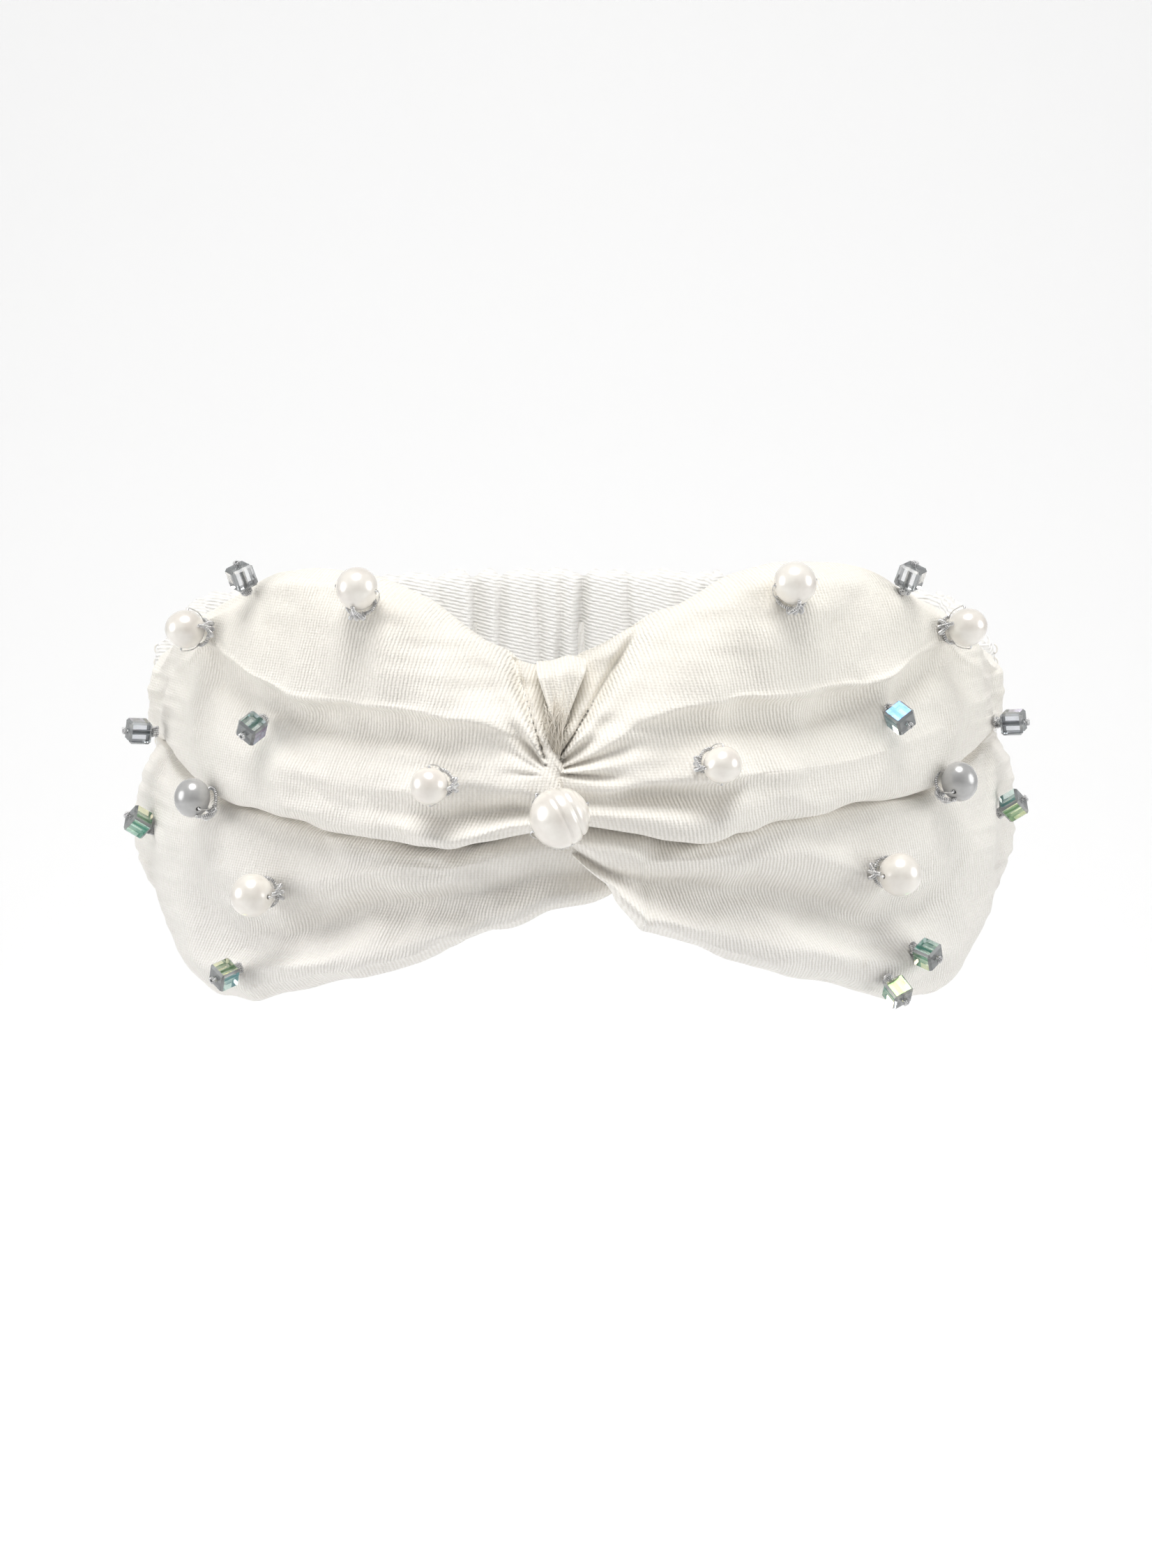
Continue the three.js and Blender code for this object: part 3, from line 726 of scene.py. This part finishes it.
def knot_fray():
    """Frayed raw edges of the cloth, caught in the hollow where the arms cross; their darker beige
    is painted shade for the hollow.
    """
    r = np.random.default_rng(17)
    hx, hz, wide, tall = THROAT_HOLLOW
    runs = []
    for _ in range(70):
        t = np.linspace(0, 1, 14)
        low = hz - tall * r.uniform(0.1, 0.95)
        high = low + tall * r.uniform(0.5, 1.1)
        x0, x1 = hx + r.normal(0, 0.3 * wide), hx + r.normal(0.3, 0.45 * wide)
        z = low + (high - low) * t
        x = x0 + (x1 - x0) * t + 0.35 * np.sin(t * r.uniform(2, 6) + r.uniform(0, 6))
        off = 12.3 + r.uniform(0, 1.6) + 0.7 * np.sin(t * math.pi * r.uniform(0.6, 1.6))
        angle = np.degrees(np.arcsin(x / (HEAD_HALF_WIDTH + off)))
        runs.append((ring(angle, z, off), r.uniform(0.00004, 0.00009)))
    obj = tubes("knot_fray", runs, sides=5)
    dress(obj, fray_fibre_painted_shade, "front", "loop_fabric", "right_loop")


# ---- Casing, elastic and seams -------------------------------

SEAM = 98.6
BACK_HALF_HEIGHT = 23.0
SEAM_HALF_HEIGHT = 16.8
# Gathers that show through the opening: arc from the back's middle, width, depth and lean.
INNER_GATHERS = [
    (-38, 1.6, 1.3, 0.05), (-31.5, 1.1, 1.8, 0.02), (-26, 0.9, 1.2, -0.04),
    (-21.5, 1.2, 1.1, 0.03), (-11, 0.8, 0.8, 0), (-1.6, 1.1, 1.9, 0.02),
    (3.4, 0.9, 1.2, -0.02), (7.4, 0.8, 0.9, 0), (14.6, 1.0, 1.0, 0.03),
    (20.8, 1.3, 1.6, 0), (28.5, 1.2, 1.4, -0.03), (35, 1.4, 1.2, 0.04),
]


def chance_gathers(seed, first, last):
    """Gathers at random places from first to last, 3.5 to 8.5 mm apart."""
    r = np.random.default_rng(seed)
    at, found = first, []
    while at < last:
        found.append((at, r.uniform(0.7, 1.7), r.uniform(0.8, 1.9), r.normal(0, 0.05)))
        at += r.uniform(3.5, 8.5)
    return found


def gathered(arc, z, gathers):
    """How far the cloth stands out: each gather is a sharp crease beside a round roll."""
    total = 0
    for k, (at, wide, deep, lean) in enumerate(gathers):
        d = arc - at - lean * z - 0.5 * np.sin(0.17 * z + 2.1 * k)
        fade = 0.55 + 0.45 * np.cos(0.065 * (z + 9 * math.sin(1.7 * k)))
        total = total + fade * deep * (0.62 * np.exp(-(((d - 2.1 * wide) / (1.5 * wide)) ** 2))
                                       - np.exp(-((d / wide) ** 2)))
    return total


def casing():
    """The ruched tube of cloth round the back of the head."""
    rows, half = 620, 26
    angle = np.linspace(SEAM, 360 - SEAM, rows)
    arc = (angle - 180) * math.pi / 180 * (HEAD_HALF_DEPTH + 2.5)
    from_seam = np.minimum(angle - SEAM, 360 - SEAM - angle)
    tall = SEAM_HALF_HEIGHT + (BACK_HALF_HEIGHT - SEAM_HALF_HEIGHT) * smooth_step(from_seam, 0, 16)
    outer_gathers = chance_gathers(21, -118, 118)
    inner_gathers = (chance_gathers(31, -118, -44) + INNER_GATHERS + chance_gathers(41, 41, 118))
    even = np.linspace(-1, 1, half)
    share = np.sin(even * math.pi / 2) * 0.35 + even * 0.65
    rim = np.sqrt(np.clip(1 - np.abs(share) ** 7, 0, 1))[None, :]
    strength = 0.55 + 0.45 * smooth_step(from_seam, 0, 10)
    mouth = smooth_step(from_seam, -0.2, 1.1)
    s2, z2 = np.meshgrid(arc, share, indexing="ij")
    z2 = z2 * tall[:, None]
    out_fold = gathered(s2, z2, outer_gathers) * strength[:, None]
    in_fold = gathered(s2, z2, inner_gathers) * strength[:, None]
    lean = 0.4 * (out_fold - in_fold) * (1 - rim)
    outer = 2.5 + lean + (2.6 + 0.9 * out_fold) * rim * (0.55 + 0.45 * mouth[:, None])
    inner = 2.5 + lean - (2.3 + 1.9 * in_fold) * rim * (0.75 + 0.25 * mouth[:, None])
    to_rim = (np.abs(share) ** 6 * np.sign(share))[None, :]
    edge = 0.75 * (out_fold[:, -1:] + in_fold[:, -1:]) * to_rim
    z2 = z2 + edge
    z = np.concatenate([z2, z2[:, ::-1]], 1)
    off = np.concatenate([outer, inner[:, ::-1]], 1)
    ang = np.repeat(angle[:, None], 2 * half, 1)
    around = np.repeat(arc[:, None], 2 * half, 1)
    off = off + 0.12 * soft_noise(around, z, 0.35, 51)
    uv = np.stack([around / 100, (z + 50) / 100], -1).reshape(-1, 2)
    obj = skin("back_casing_cloth", ring(ang, z, off), flip=True, uvs=uv)
    dress(obj, casing_cloth, None, "casing_fabric",
          "right_side_casing", "back_casing", "left_side_casing")
    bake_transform(obj)


def elastic():
    """The flat elastic inside the casing."""
    rows = 240
    angle = np.linspace(101, 259, rows)
    corners = [(-12.8, 2.3), (-12.8, 2.7), (12.8, 2.7), (12.8, 2.3)]
    z = np.array([[c[0] for c in corners]] * rows)
    off = np.array([[c[1] for c in corners]] * rows) + 0.12 * np.sin(np.arange(rows) * 1.3)[:, None]
    ang = np.repeat(angle[:, None], 4, 1)
    uv = np.stack([ang * 1.32 / 100, z / 100], -1).reshape(-1, 2)
    obj = skin("elastic_band", ring(ang, z, off), flip=True, uvs=uv)
    dress(obj, elastic_cloth, None, "elastic",
          "right_side_elastic", "back_elastic", "left_side_elastic")
    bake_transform(obj)


def tube_rings(path, radius, sides):
    """Rings of a tube that follows a path, turned as little as the path allows."""
    path = np.asarray(path, float)
    tangent = np.gradient(path, axis=0)
    tangent /= np.linalg.norm(tangent, axis=1, keepdims=True)
    start = np.cross(tangent[0], (0.31, 0.2, 0.93))
    normal = [unit(start)]
    for t in tangent[1:]:
        n = normal[-1] - t * (normal[-1] @ t)
        normal.append(unit(n))
    normal = np.array(normal)
    side = np.cross(tangent, normal)
    turn = np.linspace(0, 2 * math.pi, sides, endpoint=False)
    radius = np.broadcast_to(radius, len(path))[:, None, None]
    around = (np.cos(turn)[None, :, None] * normal[:, None, :]
              + np.sin(turn)[None, :, None] * side[:, None, :])
    return path[:, None, :] + radius * around


def tubes(name, runs, sides=6):
    """One mesh of several capped tubes; each run is a path in metres and a radius in metres."""
    verts, faces = [], []
    for path, radius in runs:
        rings = tube_rings(path, radius, sides)
        rows, cols, _ = rings.shape
        start = sum(len(v) for v in verts)
        verts.append(rings.reshape(-1, 3))
        faces += [tuple(start + i for i in f[::-1]) for f in grid_faces(rows, cols)]
        faces.append(tuple(start + i for i in range(cols)))
        faces.append(tuple(start + (rows - 1) * cols + i for i in reversed(range(cols))))
    return add_mesh(name, np.concatenate(verts), faces)


def seam_stitches():
    """Rows of small stitches that hold the gathered arms in the casing's mouth, outside and in."""
    for side, hand in ((-1, "left"), (1, "right")):
        runs = []
        for z in np.arange(-14.6, 15, 2.45):
            for base, bulge in ((4.9, 0.55), (0.35, -0.55)):
                t = np.linspace(0, 1, 9)
                height = z + (t - 0.5) * 1.7
                angle = 100.3 + 0.18 * np.sin(9 * z) + 0.1 * (t - 0.5)
                off = base + bulge * np.sin(math.pi * t) ** 0.5
                runs.append((ring(side * angle, height, off), 0.00017))
        obj = tubes(f"{hand}_seam_stitching", runs)
        dress(obj, thread_fibre, "front", "thread", f"{hand}_seam_stitch")


# ---- Beads ---------------------------------------------------

def local(bead, points):
    """Turns places in a bead's own frame (along the thread, out, across) in mm into metres."""
    basis = np.stack([bead["axis"], bead["out"], bead["across"]])
    return bead["foot"] + np.asarray(points, float) @ basis * MM


def upright(bead):
    """Straight up, in a bead's own frame and square to its outward axis."""
    return unit(np.array([bead["axis"][2], 0, bead["across"][2]]))


def distances(points):
    """How far along a path each of its points lies."""
    return np.concatenate([[0], np.cumsum(np.linalg.norm(np.diff(points, axis=0), axis=1))])


def coil(path, coil_radius, pitch):
    """A wire wound round a path, like the bullion that covers the beads' threads."""
    path = np.asarray(path, float)
    length = distances(path)
    turns = length[-1] / pitch
    at = np.linspace(0, length[-1], max(8, int(turns * 9)))
    fine = np.stack([np.interp(at, length, path[:, k]) for k in range(3)], -1)
    rings = tube_rings(fine, coil_radius, 64)
    turn = (at / pitch * 64).astype(int) % 64
    return rings[np.arange(len(at)), turn]


def smooth_path(points, count=40):
    points = np.asarray(points, float)
    length = distances(points)
    at = np.linspace(0, length[-1], count)
    tangent = np.gradient(points, length, axis=0)
    i = np.clip(np.searchsorted(length, at) - 1, 0, len(points) - 2)
    h = (length[i + 1] - length[i])[:, None]
    t = ((at - length[i])[:, None]) / h
    return cubic(t, h, points[i], points[i + 1], tangent[i], tangent[i + 1])


def pearl(name, bead, material):
    """A drilled pearl: nearly round, a little flattened along its hole, and never quite even."""
    r = np.random.default_rng(sum(map(ord, name)))
    radius = bead["radius"]
    grand = name.startswith("centre")
    rows, cols, lip = 56, 72, 0.5
    start = math.asin(lip / radius)
    lat = np.linspace(start, math.pi - start, rows)
    lon = np.linspace(0, 2 * math.pi, cols, endpoint=False)
    la, lo = np.meshgrid(lat, lon, indexing="ij")
    wave = 0
    for _ in range(6):
        k = r.normal(size=3) * 1.5
        wave = wave + np.sin(k[0] * np.sin(la) * np.cos(lo) + k[1] * np.sin(la) * np.sin(lo)
                             + k[2] * np.cos(la) + r.uniform(0, 6.28))
    size = radius * (0.97 + 0.03 * np.tanh(0.45 * wave))
    if grand:
        groove = (np.exp(-(((la - 1.15) / 0.055) ** 2)) + 0.7 * np.exp(-(((la - 1.62) / 0.05) ** 2))
                  + 0.45 * np.exp(-(((la - 0.72) / 0.05) ** 2)))
        size = size * (1 - 0.085 * groove * (0.6 + 0.4 * np.cos(lo - 1.2)))
        size = size * (1 + 0.025 * np.cos(la * 2.0) - 0.03 * smooth_step(la, 1.9, 2.9))
    x = 0.97 * size * np.cos(la)
    ring_radius = size * np.sin(la)
    inward = [(0.99, 0.86), (0.9, 0.8), (0.3, 0.8)]
    before = [(x[:1] * a, ring_radius[:1] * b) for a, b in inward[::-1]]
    after = [(x[-1:] * a, ring_radius[-1:] * b) for a, b in inward]
    x = np.concatenate([p[0] for p in before] + [x] + [p[0] for p in after])
    ring_radius = np.concatenate([p[1] for p in before] + [ring_radius] + [p[1] for p in after])
    lo = np.repeat(lo[:1], len(x), 0)
    height = pearl_height(radius)
    points = np.stack([x, height + ring_radius * np.cos(lo), ring_radius * np.sin(lo)], -1)
    if "grey" in name:
        tall = upright(bead)
        from_centre = points - (0, height, 0)
        points = points + 0.11 * (from_centre @ tall)[..., None] * tall
    grid = local(bead, points.reshape(-1, 3)).reshape(points.shape)
    rows = len(x)
    end = (rows - 1) * cols
    hole = [(end + c, end + (c + 1) % cols, (c + 1) % cols, c) for c in range(cols)]
    faces = grid_faces(rows, cols) + hole
    obj = add_mesh(name + "_nacre", grid.reshape(-1, 3), [f[::-1] for f in faces])
    return dress(obj, material, name, "grey_pearl" if "grey" in name else "pearl", name)


# Which way each pearl's heaviest coil lies on the cloth: towards the knot, up, or both.
COIL_SIDE = {"temple": (1, 0), "crown": (0, -1), "inner": (1, 0), "grey": (0.8, -0.7),
             "cheek": (1, 0.1), "centre": (-0.7, 0.9)}


def setting(name, bead):
    """Silver bullion: coils round the pearl's foot and up its side, and the thread through it."""
    radius, height = bead["radius"], pearl_height(bead["radius"])
    collar = 0.62 * radius
    turn = np.linspace(0, 2 * math.pi * 1.02, 60)
    rise = 0.34 + 0.05 * np.sin(3 * turn)
    ringed = np.stack([collar * np.cos(turn), rise, collar * np.sin(turn)], -1)
    runs = [(local(bead, coil(ringed, 0.27, 0.36)), 0.00012)]
    leg = [(collar * 0.9, 0.3), (radius * 0.86, height * 0.36), (radius + 0.06, height * 0.75),
           (radius + 0.1, height - 0.05), (radius * 0.9, height)]
    for way in (-1, 1):
        path = smooth_path([(way * x, y, 0) for x, y in leg])
        runs.append((local(bead, path), 0.0001))
    thread = [(x, height, 0) for x in (-radius - 0.1, 0, radius + 0.1)]
    runs.append((local(bead, smooth_path(thread, 12)), 0.00018))
    knotward = -1 if name.startswith("right") else 1
    sideways, up = COIL_SIDE["centre" if name.startswith("centre") else name.split("_")[1]]
    wanted = np.array([knotward * sideways, 0, up], float)
    heading = math.atan2(wanted @ bead["across"], wanted @ bead["axis"])
    for swing, end in ((-0.3, 0.72), (0.0, 0.98), (0.3, 0.6)):
        climb = [(0.35, collar * 0.8), (0.26, radius * 0.85), (0.5 * end * height, radius + 0.22),
                 (0.8 * end * height, radius + 0.36), (end * height, radius + 0.3)]
        points = []
        for k, (y, reach) in enumerate(climb):
            bearing = heading + swing * (1.5 - 0.35 * k)
            points.append((reach * math.cos(bearing), y, reach * math.sin(bearing)))
        runs.append((local(bead, coil(smooth_path(points), 0.26, 0.33)), 0.00012))
    obj = tubes(name + "_bullion", runs)
    return dress(obj, silver, "front", "silver_wire", name + "_setting")


def cut_cube_mesh():
    """A crystal cube with every edge and corner cut, and a drill hole along its Y."""
    bm = bmesh.new()
    bmesh.ops.create_cube(bm, size=CUBE_SIZE)
    bmesh.ops.bevel(bm, geom=bm.edges[:], offset=CUBE_BEVEL, segments=1, affect="EDGES")
    body = place("cut_cube", bpy.data.meshes.new("cut_cube"))
    bm.to_mesh(body.data)
    bm.free()
    bm = bmesh.new()
    bmesh.ops.create_cone(bm, segments=20, radius1=CUBE_BORE, radius2=CUBE_BORE,
                          depth=CUBE_SIZE * 2, cap_ends=True)
    bmesh.ops.rotate(bm, cent=(0, 0, 0), matrix=Matrix.Rotation(math.pi / 2, 3, "X"),
                     verts=bm.verts)
    drill = place("drill", bpy.data.meshes.new("drill"))
    bm.to_mesh(drill.data)
    bm.free()
    cut = body.modifiers.new("bore", "BOOLEAN")
    cut.operation, cut.solver, cut.object = "DIFFERENCE", "EXACT", drill
    bpy.context.view_layer.update()
    cut_body = body.evaluated_get(bpy.context.evaluated_depsgraph_get())
    done = bpy.data.meshes.new_from_object(cut_body)
    bpy.data.objects.remove(body)
    bpy.data.objects.remove(drill)
    return done


def cube(name, bead, source, facets):
    """A crystal cube: its coat shows another tint on each pair of faces, and its cut edges are
    painted dark grey, a painted shade for the dark that clear glass shows there.
    """
    mesh = source.copy()
    obj = place(name + "_crystal", mesh)
    sides = [int(np.argmax(np.abs(face.normal))) for face in mesh.polygons]
    large = [face.area > 5.0 for face in mesh.polygons]
    placed = bead["centre"] + mesh_points(mesh) @ cube_turn(name, bead) * MM
    mesh.vertices.foreach_set("co", placed.ravel())
    mesh.shade_flat()
    for face, side, is_large in zip(mesh.polygons, sides, large):
        face.material_index = side if is_large else 3
    mesh.update()
    return dress(obj, [*facets, crystal_painted_dark_edge], name, "crystal", name)


def cube_turn(name, bead):
    """The cube's own axes: its bore lies along the thread, and its flats as the CAD's do."""
    points = node_points(name) - bead["centre"]
    flat = points - np.outer(points @ bead["out"], bead["out"])
    far = np.linalg.norm(flat, axis=1)
    corner = flat[far > far.max() - 0.02 * MM]
    first = unit(corner[0])
    mates = corner / np.linalg.norm(corner, axis=1, keepdims=True)
    near = mates[np.argmax(np.where(mates @ first < 0.999, mates @ first, -1))]
    x = unit(first + near)
    x = unit(x * math.cos(math.pi / 4) + np.cross(bead["out"], x) * math.sin(math.pi / 4))
    return np.stack([x, bead["out"], np.cross(x, bead["out"])])


def shank(name, bead):
    """A stack of silver coils under the cube, the thread through it, and a knotted end."""
    r = np.random.default_rng(5 + sum(map(ord, name)))
    top = SHANK_HEIGHT + 2 * BEAD_CLEARANCE + CUBE_SIZE
    turn = np.linspace(0, 2 * math.pi * 3.4, 110)
    wide = 0.78 + 0.1 * np.sin(turn * 0.37 + r.uniform(0, 6))
    stack = np.stack([wide * np.cos(turn), 0.12 + 1.15 * turn / turn[-1], wide * np.sin(turn)], -1)
    runs = [(local(bead, coil(stack, 0.14, 0.3)), 0.0001)]
    runs.append((local(bead, smooth_path([(0, 0.1, 0), (0, 3, 0), (0, top + 0.2, 0)], 8)), 0.00021))
    turn = np.linspace(0, 2 * math.pi * 2.2, 60)
    rise = top + 0.12 + 0.4 * turn / turn[-1]
    knot = np.stack([0.45 * np.cos(turn), rise, 0.45 * np.sin(turn)], -1)
    runs.append((local(bead, coil(knot, 0.12, 0.28)), 0.0001))
    loop = [(0.5, 0.2, 0.3), (1.25, 0.9, 0.4), (1.1, 1.3, -0.4), (0.4, 0.3, -0.7)]
    loop = np.array(loop) + r.normal(0, 0.06, (4, 3))
    runs.append((local(bead, coil(smooth_path(loop, 30), 0.15, 0.28)), 0.0001))
    obj = tubes(name + "_thread_coil", runs)
    return dress(obj, silver, "front", "silver_wire", name + "_shank")


def beads():
    source = cut_cube_mesh()
    kinds = {
        "crown": (crystal_clear, crystal_smoke, crystal_clear),
        "side": (crystal_smoke, crystal_clear, crystal_violet),
        "brow": (crystal_blue, crystal_clear, crystal_green),
        "low_side": (crystal_green, crystal_blue, crystal_gold),
        "jaw": (crystal_green, crystal_clear, crystal_gold),
        "rim": (crystal_gold, crystal_green, crystal_gold),
    }
    for name, bead in BEADS.items():
        if name.endswith("pearl"):
            pearl(name, bead, grey_nacre if "grey" in name else nacre)
            setting(name, bead)
        else:
            part = name.split("_", 1)[1][:-len("_cube")]
            cube(name, bead, source, kinds[part])
            shank(name, bead)


loops()
knot_core()
knot_fray()
casing()
elastic()
seam_stitches()
beads()


# ---- Stage, light and camera ---------------------------------

FLOOR_HEIGHT = -0.42
FLOOR_HALF_WIDTH = 14.0
BEND_START = 1.6
BEND_RADIUS = 1.4


def make_stage():
    """A floor of pale paper that bends up into a backdrop behind the band."""
    verts = []
    profile = [(-FLOOR_HALF_WIDTH, FLOOR_HEIGHT), (BEND_START, FLOOR_HEIGHT)]
    for k in range(1, 13):
        a = math.radians(90 * k / 12)
        profile.append((BEND_START + BEND_RADIUS * math.sin(a),
                        FLOOR_HEIGHT + BEND_RADIUS * (1 - math.cos(a))))
    profile.append((BEND_START + BEND_RADIUS, 5.0))
    for x in (-FLOOR_HALF_WIDTH, FLOOR_HALF_WIDTH):
        verts += [(x, y, z) for y, z in profile]
    n = len(profile)
    faces = [(i, i + 1, n + i + 1, n + i) for i in range(n - 1)]
    floor = add_mesh("floor", verts, faces)
    m, tree, bsdf = node_material("floor_paper")
    feed(tree, bsdf, {"Base Color": (0.97, 0.97, 0.97, 1), "Roughness": 0.9})
    floor.data.materials.append(m)


def area_light(name, at, target, size, power, colour=(1, 1, 1)):
    data = bpy.data.lights.new(name, "AREA")
    data.shape, data.size, data.energy, data.color = "DISK", size, power, colour
    lamp = place(name, data)
    lamp.location = at
    lamp.rotation_euler = (Vector(target) - Vector(at)).to_track_quat("-Z", "Y").to_euler()


make_stage()
area_light("key", (-0.05, -0.48, 1.3), (0, -0.03, 0), 0.9, 16.0, (1, 0.99, 0.975))
area_light("left_panel", (-1.3, -0.35, 0.25), (0, 0, 0), 0.9, 6.5)
area_light("right_panel", (1.3, -0.35, 0.25), (0, 0, 0), 0.9, 6.5)
area_light("backdrop_light", (0, 0.9, 0.9), (0, 2.6, 0.0), 1.2, 16.6)


def studio_world():
    """White all round, but for the dim part of the room that the object's front faces."""
    world = bpy.data.worlds.new("studio")
    bpy.context.scene.world = world
    world.use_nodes = True
    tree = world.node_tree
    towards = tree.nodes.new("ShaderNodeTexCoord").outputs["Generated"]
    facing = add_node(tree, "VectorMath", {0: towards, 1: (0, -0.985, -0.17)},
                      operation="DOT_PRODUCT")
    room = ramp(tree, facing.outputs["Value"], [(0.80, (1, 1, 1)), (0.96, (0.16, 0.15, 0.15))])
    feed(tree, tree.nodes["Background"], {"Color": room, "Strength": 0.37})


studio_world()
bpy.context.scene.view_settings.view_transform = "Standard"

CAMERA_RISE = math.radians(8)
CAMERA_DISTANCE = 1.1
aim = Vector((0, 0, -0.0086))
camera_data = bpy.data.cameras.new("camera")
camera_data.sensor_width = 36
camera_data.lens = 136.7
camera = place("camera", camera_data)
away = Vector((0, -math.cos(CAMERA_RISE), math.sin(CAMERA_RISE)))
camera.location = aim + away * CAMERA_DISTANCE
camera.rotation_mode = "QUATERNION"
camera.rotation_quaternion = (-away).to_track_quat("-Z", "Y")
bpy.context.scene.camera = camera
